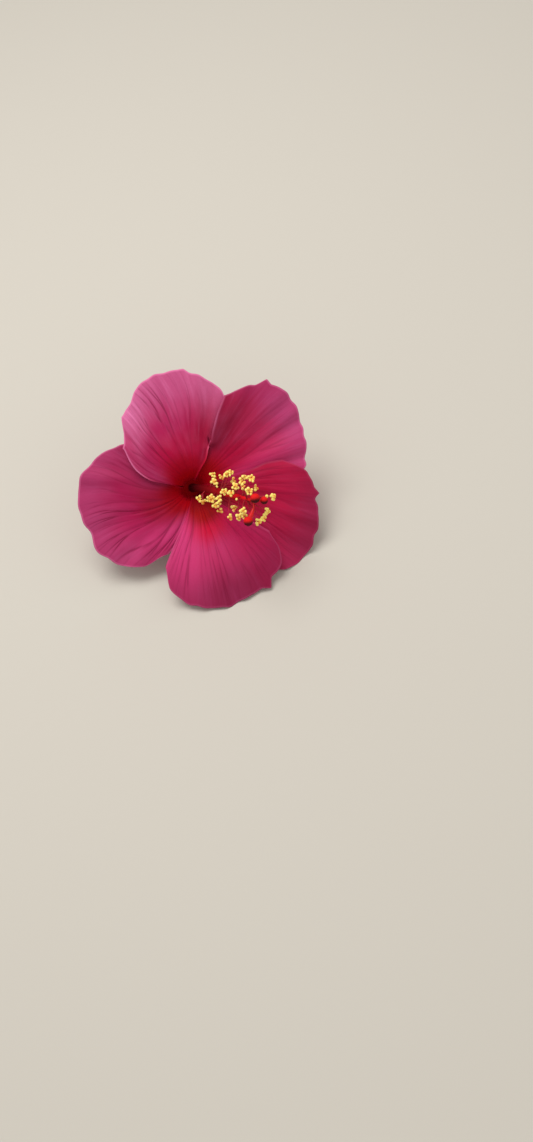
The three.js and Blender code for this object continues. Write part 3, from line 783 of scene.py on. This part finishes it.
def petal_material(name, petal, vein_colour):
    """Fresh hibiscus petal: thin satin tissue ribbed by forking veins, its cells swollen into fine velvet.

    The eye sees a saturated crimson that turns magenta towards a thin, lighter rim, partly a painted
    highlight.
    The veins lie in shallow furrows with painted shade, darker than the tissue between them, and the throat is
    a deep dark red."""
    material, tree = new_material(name)
    at = {key: add(tree, "Attribute", attribute_name=key, output=2) for key in PETAL_PLACES}
    tissue = add(tree, "Attribute", attribute_name="tissue", output=1)

    # The tissue's patterns, drawn out along the petal: streaks, clouds and spells are noise.
    place = {
        grain: add(tree, "Mapping", tissue, sockets={"Scale": (1 / width, 1 / length, 1)})
        for grain, (width, length) in PATTERNS.items()
    }
    noise = {
        grain: add(tree, "TexNoise", sockets={"Vector": place[grain], "Scale": 1.0, "Detail": octaves})
        for grain, octaves in (("streak", 4.0), ("cloud", 2.0), ("spell", 2.0))
    }

    # Veins 0.5 mm wide, each forking twice on its way to the rim and fading before it.
    gap = add(tree, "Math", at["vein"], 0.5, operation="PINGPONG")
    for key in ("fork", "second_fork"):
        apart = add(tree, "Math", gap, at[key], operation="SUBTRACT")
        gap = add(tree, "Math", apart, operation="ABSOLUTE")
    gap_mm = add(tree, "Math", gap, at["vein_gap_mm"], **TIMES)
    spell = add(tree, "MapRange", noise["spell"], 0.36, 0.58, 0.15, 1.0, **EASED)
    fading = add(tree, "MapRange", at["share"], 1.0, 0.82, 0.3, 1.0, **EASED)
    emerging = add(tree, "MapRange", at["axis_mm"], 6.0, 18.0, 0.3, 1.0, **EASED)
    darkness = add(tree, "MapRange", at["side"], 0.25, 0.7, *petal["veins"], **EASED)
    strength = at["vein_strength"]
    for part in (spell, fading, emerging, darkness):
        strength = add(tree, "Math", strength, part, **TIMES)
    furrow = add(tree, "MapRange", gap_mm, 1.1, 0.0, **EASED)
    furrow = add(tree, "Math", furrow, strength, **TIMES)
    thread = add(tree, "MapRange", gap_mm, 0.36, 0.12, **EASED)
    thread = add(tree, "Math", thread, strength, **TIMES)
    # The net of the finest veins lies between them.
    net = add(tree, "TexVoronoi", feature="DISTANCE_TO_EDGE", sockets={"Vector": place["net"], "Scale": 1.0})
    net = add(tree, "MapRange", net, 0.09, 0.0, **EASED)

    # The blade's colour from the throat outwards, each stop reached unevenly, then its two sides' tints,
    # partly painted light and shade.
    wobble = add(tree, "MapRange", noise["streak"], 0.0, 1.0, -2.5, 2.5)
    place_mm = add(tree, "Math", at["axis_mm"], wobble)
    (before, colour), *stops = petal["stops"]
    blade = linear(colour)
    for k, (distance, colour) in enumerate(stops):
        step = add(tree, "MapRange", place_mm if k else at["axis_mm"], before, distance, **EASED)
        blade = add(tree, "Mix", step, blade, linear(colour), **TINT)
        before = distance
    cw, ccw, rim = (linear(colour) for colour in petal["tints"])
    outside = add(tree, "MapRange", at["share"], 0.34, 0.6, **EASED)
    short = add(tree, "MapRange", at["share"], 0.65, 1.0, 1.0, 0.4, **EASED)
    zone = add(tree, "Math", outside, short, **TIMES)
    for inner, outer, tint in ((0.48, 0.08, cw), (0.52, 0.92, ccw)):
        beside = add(tree, "MapRange", at["side"], inner, outer, **EASED)
        weight = add(tree, "Math", beside, zone, **TIMES)
        blade = add(tree, "Mix", weight, blade, tint, **TINT)

    # The rim is thin and pale, unevenly, partly a painted highlight, with faint pale clouds and ridges further
    # in.
    pale_rim_and_highlight = add(tree, "MapRange", at["share"], 0.62, 1.0, **EASED)
    paleness_and_highlight = add(tree, "MapRange", at["side"], 0.6, 0.78, *petal["rim"], **EASED)
    ending = add(tree, "MapRange", at["side"], 0.92, 0.82, 0.15, 1.0, **EASED)
    uneven = add(tree, "MapRange", noise["streak"], 0.36, 0.66, 0.8, 1.12, **EASED)
    for part in (paleness_and_highlight, ending, uneven):
        pale_rim_and_highlight = add(tree, "Math", pale_rim_and_highlight, part, **TIMES)
    cloud = add(tree, "MapRange", noise["cloud"], 0.4, 0.75, 0.0, 0.1, **EASED)
    # Painted highlight: the ridges of the streaky relief are painted paler.
    painted_ridge_light = add(tree, "MapRange", noise["streak"], 0.52, 0.75, 0.0, 0.08, **EASED)
    for pale in (pale_rim_and_highlight, cloud, painted_ridge_light):
        weight = add(tree, "Math", pale, outside, **TIMES)
        blade = add(tree, "Mix", weight, blade, rim, **TINT)
    # Painted shade: the hollows of the streaky relief and the furrows along the veins are painted darker.
    shade = (0.66, 0.4, 0.55, 1)
    painted_hollow_shade = add(tree, "MapRange", noise["streak"], 0.5, 0.25, 0.0, 0.09, **EASED)
    blade = add(tree, "Mix", painted_hollow_shade, blade, shade, **SHADE)
    blade = add(tree, "Mix", add(tree, "Math", furrow, 0.3, **TIMES), blade, shade, **SHADE)
    # Painted highlight: the edge is painted pink outwards, and bright red at the clockwise side near the
    # throat.
    edge = add(tree, "MapRange", at["margin_mm"], 1.1, 0.4, **EASED)
    outwards = add(tree, "MapRange", at["share"], 0.5, 0.8, **EASED)
    lit = add(tree, "MapRange", at["side"], 0.7, 0.3, **EASED)
    lit = add(tree, "Math", lit, outwards, operation="MAXIMUM")
    edge = add(tree, "Math", edge, lit, **TIMES)
    edge_colour = add(tree, "Mix", outwards, linear("#e81842"), linear("#ee80b4"), **TINT)
    # Over the colour lie the veins, their net, painted shade in the slit, the paler back and the painted edge
    # highlight.
    for mask, most, colour in (
        (thread, 0.62, (*vein_colour, 1)),
        (net, 0.05, (*vein_colour, 1)),
        # Painted shade: the slit is painted nearly black.
        (at["slit"], 0.85, linear("#3c020c")),
        (at["back"], 0.3, linear("#c45a8a")),
        (edge, petal["edge"], edge_colour),
    ):
        blade = add(tree, "Mix", add(tree, "Math", mask, most, **TIMES), blade, colour, **TINT)

    # Relief: furrows along the veins, soft streaks, and skin cells drawn ten times as wide as the real ones,
    # so that the velvet still shows.
    skin_place = add(tree, "TexCoord", output=3)
    cells = add(tree, "TexVoronoi", sockets={"Vector": skin_place, "Scale": 1 / (SKIN_CELL * MM)})
    height = add(tree, "Math", furrow, -0.5, **TIMES)
    for relief, amount in ((noise["streak"], 0.25), (thread, -0.25), (cells, 0.1)):
        height = add(tree, "Math", relief, amount, height, operation="MULTIPLY_ADD")
    bump = add(tree, "Bump", sockets={"Height": height, "Strength": 0.5, "Distance": 0.3 * MM})
    satin = add(tree, "MapRange", noise["streak"], 0.3, 0.7, 0.68, 0.54, **EASED)
    # Painted glow: the tissue gives off light in the throat, for light soaked down through it, so it is dark
    # red, not black.
    painted_glow = add(tree, "MapRange", at["axis_mm"], 9.5, 5.0, 0.0, 0.1, **EASED)
    skin = add(
        tree,
        "BsdfPrincipled",
        sockets={
            "Base Color": blade,
            "Roughness": satin,
            "Normal": bump,
            "Specular IOR Level": 0.12,
            "Sheen Weight": 0.08,
            "Sheen Roughness": 0.5,
            "Sheen Tint": linear("#ff3c98"),
            "Emission Color": blade,
            "Emission Strength": painted_glow,
        },
    )
    glow = add(tree, "BsdfTranslucent", blade, sockets={"Normal": bump})
    both = add(tree, "MixShader", 0.15, skin, glow)
    add(tree, "OutputMaterial", both)
    return material


def tissue_material(
    name, colours, ramp, roughness, grain_mm, relief_mm, specular=0.3, sheen=0.1, painted_glow=0.0, uneven=0.5
):
    """Plant tissue that changes from low to high with each vertex's value, flecked by its uneven skin of
    cells.
    """
    material, tree = new_material(name)
    low, high, fleck = colours
    place = add(tree, "TexCoord", output=3)
    grain = add(tree, "TexNoise", sockets={"Vector": place, "Scale": 1 / (grain_mm * MM), "Detail": 4.0})
    along = add(tree, "Attribute", attribute_name="along", output=2)
    step = add(tree, "MapRange", along, *ramp, **EASED)
    colour = add(tree, "Mix", step, linear(low), linear(high), **TINT)
    light = add(tree, "MapRange", grain, 0.45, 0.7, 0.0, uneven, **EASED)
    colour = add(tree, "Mix", light, colour, linear(fleck), **TINT)
    deep = add(tree, "MapRange", grain, 0.5, 0.28, 0.0, 0.7 * uneven, **EASED)
    colour = add(tree, "Mix", deep, colour, linear(low), **TINT)
    bump = add(tree, "Bump", sockets={"Height": grain, "Strength": 0.6, "Distance": relief_mm * MM})
    gloss = add(tree, "MapRange", grain, 0.3, 0.7, roughness + 0.06, roughness - 0.06)
    skin = add(
        tree,
        "BsdfPrincipled",
        sockets={
            "Base Color": colour,
            "Roughness": gloss,
            "Normal": bump,
            "Specular IOR Level": specular,
            "Sheen Weight": sheen,
            "Sheen Roughness": 0.45,
            "Sheen Tint": linear(high),
            # Painted glow: the tissue gives off light in its own colour, which no lamp sends.
            "Emission Color": colour,
            "Emission Strength": painted_glow,
        },
    )
    add(tree, "OutputMaterial", skin)
    return material


# ================================================================== sizes and colours a user would change


class BlossomSettings(bpy.types.PropertyGroup):
    petal_thickness: FloatProperty(
        name="Petals", description="Thickness of a petal inside its margin", default=0.45 * MM, unit="LENGTH"
    )
    pleat_height: FloatProperty(
        name="Pleats", description="Height of the pleats between the veins", default=0.09 * MM, unit="LENGTH"
    )
    crimp_height: FloatProperty(
        name="Folds", description="Height of the soft folds at the margin", default=0.6 * MM, unit="LENGTH"
    )
    scallop_depth: FloatProperty(
        name="Scallops", description="Depth of the scallops of the margin", default=0.5 * MM, unit="LENGTH"
    )
    petal_cells: IntProperty(
        name="Petal cells", description="Cells from root to rim of a petal's mesh", default=120, min=20
    )
    petal_veins: IntProperty(name="Veins", description="Veins at the root of a petal", default=9, min=3)
    vein_colour: FloatVectorProperty(
        name="Vein colour", description="Colour of the veins", default=linear("#780630")[:3], subtype="COLOR"
    )
    bead_radius: FloatProperty(
        name="Pollen beads", description="Radius of one pollen bead", default=0.66 * MM, unit="LENGTH"
    )
    filament_radius: FloatProperty(
        name="Filaments", description="Radius of a free filament", default=0.24 * MM, unit="LENGTH"
    )
    table_colour: FloatVectorProperty(
        name="Table", description="Colour of the table", default=linear("#c6c1b8")[:3], subtype="COLOR"
    )
    key_power: FloatProperty(
        name="Key light", description="Power of the large soft light", default=6.2, unit="POWER"
    )


class BLOSSOM_OT_stage(bpy.types.Operator):
    """Set up the table, the soft lights and the camera"""

    bl_idname = "blossom.stage"
    bl_label = "Studio stage"
    bl_options = {"REGISTER", "UNDO"}

    def execute(self, context):
        settings = context.scene.blossom
        scene = context.scene
        mesh = bpy.data.meshes.new("table")
        corners = ((-1, -1), (1, -1), (1, 1), (-1, 1))
        mesh.from_pydata([(x * TABLE_HALF, y * TABLE_HALF, 0) for x, y in corners], [], [(0, 1, 2, 3)])
        table = bpy.data.objects.new("table", mesh)
        scene.collection.objects.link(table)
        # Matt emulsion paint: no gloss, so the table stays an even pale ground.
        material, tree = new_material("table.matt_paint")
        paint = add(
            tree, "BsdfPrincipled", sockets={"Base Color": (*settings.table_colour, 1), "Roughness": 0.85}
        )
        add(tree, "OutputMaterial", paint)
        mesh.materials.append(material)

        world = bpy.data.worlds.new("studio_air")
        world.use_nodes = True
        air = world.node_tree.nodes["Background"]
        air.inputs["Color"].default_value = linear(AIR["colour"])
        air.inputs["Strength"].default_value = AIR["strength"]
        scene.world = world

        centre = TO_TABLE @ Vector((0, 0, FOCUS_HEIGHT))
        for name, (direction, share, size) in LIGHTS.items():
            lamp = bpy.data.lights.new(name, "AREA")
            lamp.energy, lamp.size, lamp.color = settings.key_power * share, size, LIGHT_COLOUR
            light = bpy.data.objects.new(name, lamp)
            scene.collection.objects.link(light)
            direction = (LYING @ Vector(direction)).normalized()
            light.location = centre + direction * LIGHT_AWAY
            light.rotation_mode = "QUATERNION"
            light.rotation_quaternion = (-direction).to_track_quat("-Z", "Y")

        lens = bpy.data.cameras.new("camera")
        camera = bpy.data.objects.new("camera", lens)
        scene.collection.objects.link(camera)
        focal_pixels = CAMERA_AWAY / MM_PER_PIXEL
        lens.sensor_width = SENSOR_WIDTH
        lens.lens = SENSOR_WIDTH * focal_pixels / max(PHOTO)
        lens.clip_start, lens.clip_end = 0.01, 50
        to_throat = Vector((THROAT_PIXEL[0] - PHOTO[0] / 2, PHOTO[1] / 2 - THROAT_PIXEL[1], -focal_pixels))
        turn = Vector((0, 0, -1)).rotation_difference(to_throat.normalized())
        camera.rotation_mode = "QUATERNION"
        camera.rotation_quaternion = LYING @ turn.inverted()
        camera.location = TO_TABLE @ Vector((0, 0, FOCUS_HEIGHT + CAMERA_AWAY))
        scene.camera = camera
        scene.view_settings.view_transform = "Standard"
        return {"FINISHED"}


class BLOSSOM_OT_petals(bpy.types.Operator):
    """Grow the five overlapping petals"""

    bl_idname = "blossom.petals"
    bl_label = "Petals"
    bl_options = {"REGISTER", "UNDO"}

    def execute(self, context):
        settings = context.scene.blossom
        detail = {
            "pleat": settings.pleat_height / MM,
            "crimp": settings.crimp_height / MM,
            "scallop": settings.scallop_depth / MM,
            "veins": settings.petal_veins,
        }
        share, side = shares(settings.petal_cells, round(settings.petal_cells * 1.5))
        for name, petal in PETALS.items():
            points, places = petal_surface(name, share, side, detail)
            thinning = THIN_MARGIN["share"] * smooth(places["margin_mm"], THIN_MARGIN["width"], 0)
            form = blade(points, settings.petal_thickness / MM * (1 - thinning), places)
            material = petal_material(name + ".satin_tissue", petal, settings.vein_colour)
            grow(name + ".blade", form, material, "petal", name)
        return {"FINISHED"}


class BLOSSOM_OT_column(bpy.types.Operator):
    """Grow the staminal column with its filaments and anthers"""

    bl_idname = "blossom.column"
    bl_label = "Staminal column"
    bl_options = {"REGISTER", "UNDO"}

    def execute(self, context):
        settings = context.scene.blossom
        points, way, radius = column_line()
        tube, filaments, anthers = Sprout(), Sprout(), Sprout()
        red = np.interp(way, COLUMN_RED_AND_SHADE["way"], COLUMN_RED_AND_SHADE["red"])
        tube.bar(points, radius, SIDES["tube"], red, COLUMN_RIBS)
        thread = settings.filament_radius / MM * np.linspace(*FILAMENT_TAPER, STEPS["filament"])
        bead, bead_faces = ball(BALL["bead"])
        size = settings.bead_radius / MM
        for n, (x, y, count, near) in enumerate(ANTHER_PIXELS):
            root, tip, forward = stamen_plan(n, (x, y), near, points, way)
            ahead = forward * np.dot(tip - root, forward)
            bend = root + (tip - root - ahead) * 0.62 + ahead * 0.2
            filaments.bar(arc(root, bend, tip, STEPS["filament"]), thread, SIDES["filament"])
            direction = unit(tip - bend)
            # Painted shade: pollen is orange deep in a clump and on the column's far side, yellow outside it.
            # Lone beads are the yellowest.
            tone_and_painted_shade = 0.5 if count == 1 else 0.3 * (near - 0.85)
            for k, place in enumerate(bead_clump(n, count, direction, size)):
                stretch = 1 + 0.2 * (np.array([draw(n + 3 * k + j) for j in (2100, 2200, 2300)]) - 0.5)
                scale = size * (0.86 + 0.26 * draw(n * 17 + k + 2000))
                skin = tip + place + bead * stretch * scale
                depth = np.linalg.norm(skin - tip - direction * 0.5, axis=1) / (size * (1.5 + 0.3 * count))
                anthers.add(list(skin), bead_faces, depth + tone_and_painted_shade)
        # Waxy tissue, grown as one tube: smooth, and bright red where it closes on the style.
        # Painted shade makes it nearly black deep in the throat, and a faint painted glow of its own colour
        # lies on it.
        tube_skin = tissue_material(
            "staminal_tube.waxy_tissue",
            ("#260206", "#d2101c", "#7a0610"),
            ramp=(0.0, 1.0),
            roughness=0.5,
            grain_mm=0.9,
            relief_mm=0.1,
            specular=0.1,
            sheen=0.0,
            painted_glow=0.14,
            uneven=0.12,
        )
        # The same tissue drawn out into threads, so thin that they look lighter.
        filament_skin = tissue_material(
            "filament.waxy_tissue",
            ("#8e0c1a", "#b01c2c", "#c43c4a"),
            ramp=(0.1, 1.0),
            roughness=0.45,
            grain_mm=0.6,
            relief_mm=0.05,
        )
        # Ripe pollen on burst anthers: dull and powdery, yellow outside and painted orange shade where the
        # beads meet.
        pollen = tissue_material(
            "anther.ripe_pollen",
            ("#ee9c2c", "#ffea76", "#fff8b4"),
            ramp=(0.15, 0.65),
            roughness=0.8,
            grain_mm=0.3,
            relief_mm=0.1,
            specular=0.2,
            sheen=0.15,
        )
        grow("staminal_tube", tube.form(), tube_skin, "column", "staminal_column")
        grow("filaments", filaments.form(), filament_skin, "column")
        grow("anthers", anthers.form(), pollen, "column")
        return {"FINISHED"}


class BLOSSOM_OT_pistil(bpy.types.Operator):
    """Grow the style, its branches and the velvety stigmas"""

    bl_idname = "blossom.pistil"
    bl_label = "Style and stigmas"
    bl_options = {"REGISTER", "UNDO"}

    def execute(self, context):
        points, _, _ = column_line()
        style, stigmas = Sprout(), Sprout()
        place = fork(points)
        ends = (points[-1] - place["forward"] * 2, place["at"] + place["forward"] * 0.3)
        widening = smooth(np.linspace(0, 1, STEPS["style"]), 0.5, 1)
        radii = mix(PISTIL["style"], PISTIL["fork"], widening)
        style.bar(np.linspace(*ends, STEPS["style"]), radii, SIDES["style"])
        skin, faces = ball(BALL["stigma"])
        along = np.linspace(0, 1, STEPS["branch"])
        stem = mix(BRANCH["root"], BRANCH["middle"], smooth(along, 0, 0.35))
        for n, branch in enumerate(BRANCHES):
            line = branch_points(branch, place)
            radii = mix(stem, 0.55 * branch[-1], smooth(along, 0.45, 1.0))
            style.bar(line, radii, SIDES["branch"])
            turns = (skin @ np.array(axis) * PAPILLAE["waves"] for axis in PAPILLA_AXES)
            bumps = sum(np.sin(turn + n * 1.7 + k) for k, turn in enumerate(turns))
            radius = branch[-1] * (1 + PAPILLAE["height"] * bumps)
            # Painted light and shade: the value rises towards each stigma's upper side, and a little on its
            # papillae.
            lit = 0.5 + 0.5 * skin @ unit(STIGMA_UP) + 0.04 * bumps
            stigmas.add(list(line[-1] + skin * radius[:, None]), faces, lit)
        # Waxy tissue under tension: the smoothest and glossiest red of the blossom.
        style_skin = tissue_material(
            "style.waxy_tissue",
            ("#a00810", "#d41014", "#e0201c"),
            ramp=(0.0, 1.0),
            roughness=0.4,
            grain_mm=0.8,
            relief_mm=0.05,
            specular=0.25,
        )
        # Papillose velvet: dense blunt hairs, with painted shade: bright red facing up, maroon on the shaded
        # side.
        velvet = tissue_material(
            "stigma.papillose_velvet",
            ("#3a0206", "#de1014", "#c01014"),
            ramp=(0.3, 0.72),
            roughness=0.7,
            grain_mm=0.3,
            relief_mm=0.08,
            specular=0.2,
            uneven=0.15,
        )
        grow("style", style.form(), style_skin, "pistil", "pistil")
        grow("stigmas", stigmas.form(), velvet, "pistil")
        return {"FINISHED"}


class BLOSSOM_OT_calyx(bpy.types.Operator):
    """Grow the five-lobed calyx"""

    bl_idname = "blossom.calyx"
    bl_label = "Calyx"
    bl_options = {"REGISTER", "UNDO"}

    def execute(self, context):
        share, turn = (values[:, :-1] for values in shares(*CALYX_GRID))
        lobe = np.abs(((turn * CALYX["lobes"]) % 1) - 0.5) * 2
        way = share * mix(1, CALYX["notch_at"], lobe**0.85)
        radius, height = (spline(line, way) for line in zip(*CALYX_WALL))
        ribs = np.cos(2 * np.pi * CALYX_RIBS["count"] * turn) * smooth(share, 0, 0.2)
        radius = radius + CALYX_RIBS["height"] * ribs
        bearing = np.radians(-360 * turn - CALYX["first_lobe"])
        middle = np.stack([radius * np.cos(bearing), radius * np.sin(bearing), height], -1)
        cup = blade(middle, CALYX["thickness"], {"along": share}, closed=True)
        floor = Sprout()
        floor.ring(CALYX_FLOOR)
        # Leaf tissue under a fine down: matt, with a soft pale sheen, paler at the root.
        green = tissue_material(
            "calyx.downy_leaf_tissue",
            ("#7d9648", "#5d7f33", "#93a95c"),
            ramp=(0.1, 0.9),
            roughness=0.62,
            grain_mm=0.7,
            relief_mm=0.15,
            sheen=0.3,
        )
        grow("calyx_cup", cup, green, "calyx", "calyx")
        grow("calyx_floor", floor.form(), green, "calyx")
        return {"FINISHED"}


class BLOSSOM_OT_bracts(bpy.types.Operator):
    """Grow the ring of narrow bracts behind the calyx"""

    bl_idname = "blossom.bracts"
    bl_label = "Bracts"
    bl_options = {"REGISTER", "UNDO"}

    def execute(self, context):
        made = Sprout()
        share, side = shares(*BRACT_GRID)
        side = 2 * side - 1
        half = BRACTS["width"] / 2 * np.sqrt(np.clip(1 - share**2, 0.02, None)) * (1 - 0.25 * share)
        lean = np.radians(mix(*BRACTS["lean"], share))
        away = COLLAR["outer"] - 0.7 + BRACTS["length"] * share * np.sin(lean)
        up = (COLLAR["top"] + COLLAR["bottom"]) / 2 + BRACTS["length"] * share * np.cos(lean)
        keel = KEEL * (1 - np.abs(side)) * (1 - share)
        flat = np.stack([away + keel, -side * half, up - keel], -1)
        vertices, faces, values = blade(flat, BRACTS["thickness"] * (1 - 0.5 * share), {"along": share})
        for k in range(BRACTS["count"]):
            a = math.radians(BRACTS["first"] + 360 * k / BRACTS["count"])
            turn = np.array([[math.cos(a), -math.sin(a), 0], [math.sin(a), math.cos(a), 0], [0, 0, 1]])
            made.add(list(vertices @ turn.T), faces, values["along"].ravel())
        made.ring(COLLAR)
        # Leaf tissue under a fine down, a deeper green than the calyx and paler at the root.
        green = tissue_material(
            "bract.downy_leaf_tissue",
            ("#6a8a3a", "#4b6f2b", "#7f9a4a"),
            ramp=(0.0, 0.9),
            roughness=0.6,
            grain_mm=0.6,
            relief_mm=0.12,
            sheen=0.3,
        )
        grow("bract_ring", made.form(), green, "bract", "epicalyx")
        return {"FINISHED"}


class BLOSSOM_OT_stalk(bpy.types.Operator):
    """Grow the short cut stalk"""

    bl_idname = "blossom.stalk"
    bl_label = "Stalk"
    bl_options = {"REGISTER", "UNDO"}

    def execute(self, context):
        length, radius, bevel = STALK["length"], STALK["radius"], STALK["bevel"]
        wide, top = STALK["receptacle"], STALK["top"]
        cut = top - length
        outline = [(0, cut), (radius - bevel, cut), (radius, cut + bevel)]
        outline += [(radius * girth, top - length * down) for down, girth in STALK_FORM]
        outline += [(wide, top - STALK["disc"]), (wide, top), (0, top)]
        made = Sprout()
        vertices, faces = revolve(outline, SIDES["stalk"])
        made.add(vertices, faces, [(v[2] - cut) / length for v in vertices])
        # Herbaceous stem, cut across: a smooth green skin, and pale wet fibres at the fresh cut.
        green = tissue_material(
            "stalk.herbaceous_stem",
            ("#a8ac74", "#6b8038", "#8da053"),
            ramp=(0.0, 0.1),
            roughness=0.55,
            grain_mm=0.8,
            relief_mm=0.15,
        )
        grow("cut_stalk", made.form(), green, "stalk", "stalk")
        return {"FINISHED"}


class BLOSSOM_PT_panel(bpy.types.Panel):
    bl_label = "Hibiscus blossom"
    bl_space_type = "VIEW_3D"
    bl_region_type = "UI"
    bl_category = "Blossom"

    def draw(self, context):
        settings = context.scene.blossom
        for key in BlossomSettings.__annotations__:
            self.layout.prop(settings, key)
        for operator in OPERATORS:
            self.layout.operator(operator.bl_idname)


OPERATORS = (
    BLOSSOM_OT_stage,
    BLOSSOM_OT_petals,
    BLOSSOM_OT_column,
    BLOSSOM_OT_pistil,
    BLOSSOM_OT_calyx,
    BLOSSOM_OT_bracts,
    BLOSSOM_OT_stalk,
)
CLASSES = (BlossomSettings, *OPERATORS, BLOSSOM_PT_panel)


def register():
    for cls in CLASSES:
        bpy.utils.register_class(cls)
    bpy.types.Scene.blossom = PointerProperty(type=BlossomSettings)


def unregister():
    del bpy.types.Scene.blossom
    for cls in reversed(CLASSES):
        bpy.utils.unregister_class(cls)


def main():
    register()
    bpy.ops.blossom.stage()
    bpy.ops.blossom.petals()
    bpy.ops.blossom.column()
    bpy.ops.blossom.pistil()
    bpy.ops.blossom.calyx()
    bpy.ops.blossom.bracts()
    bpy.ops.blossom.stalk()


if __name__ == "__main__":
    main()
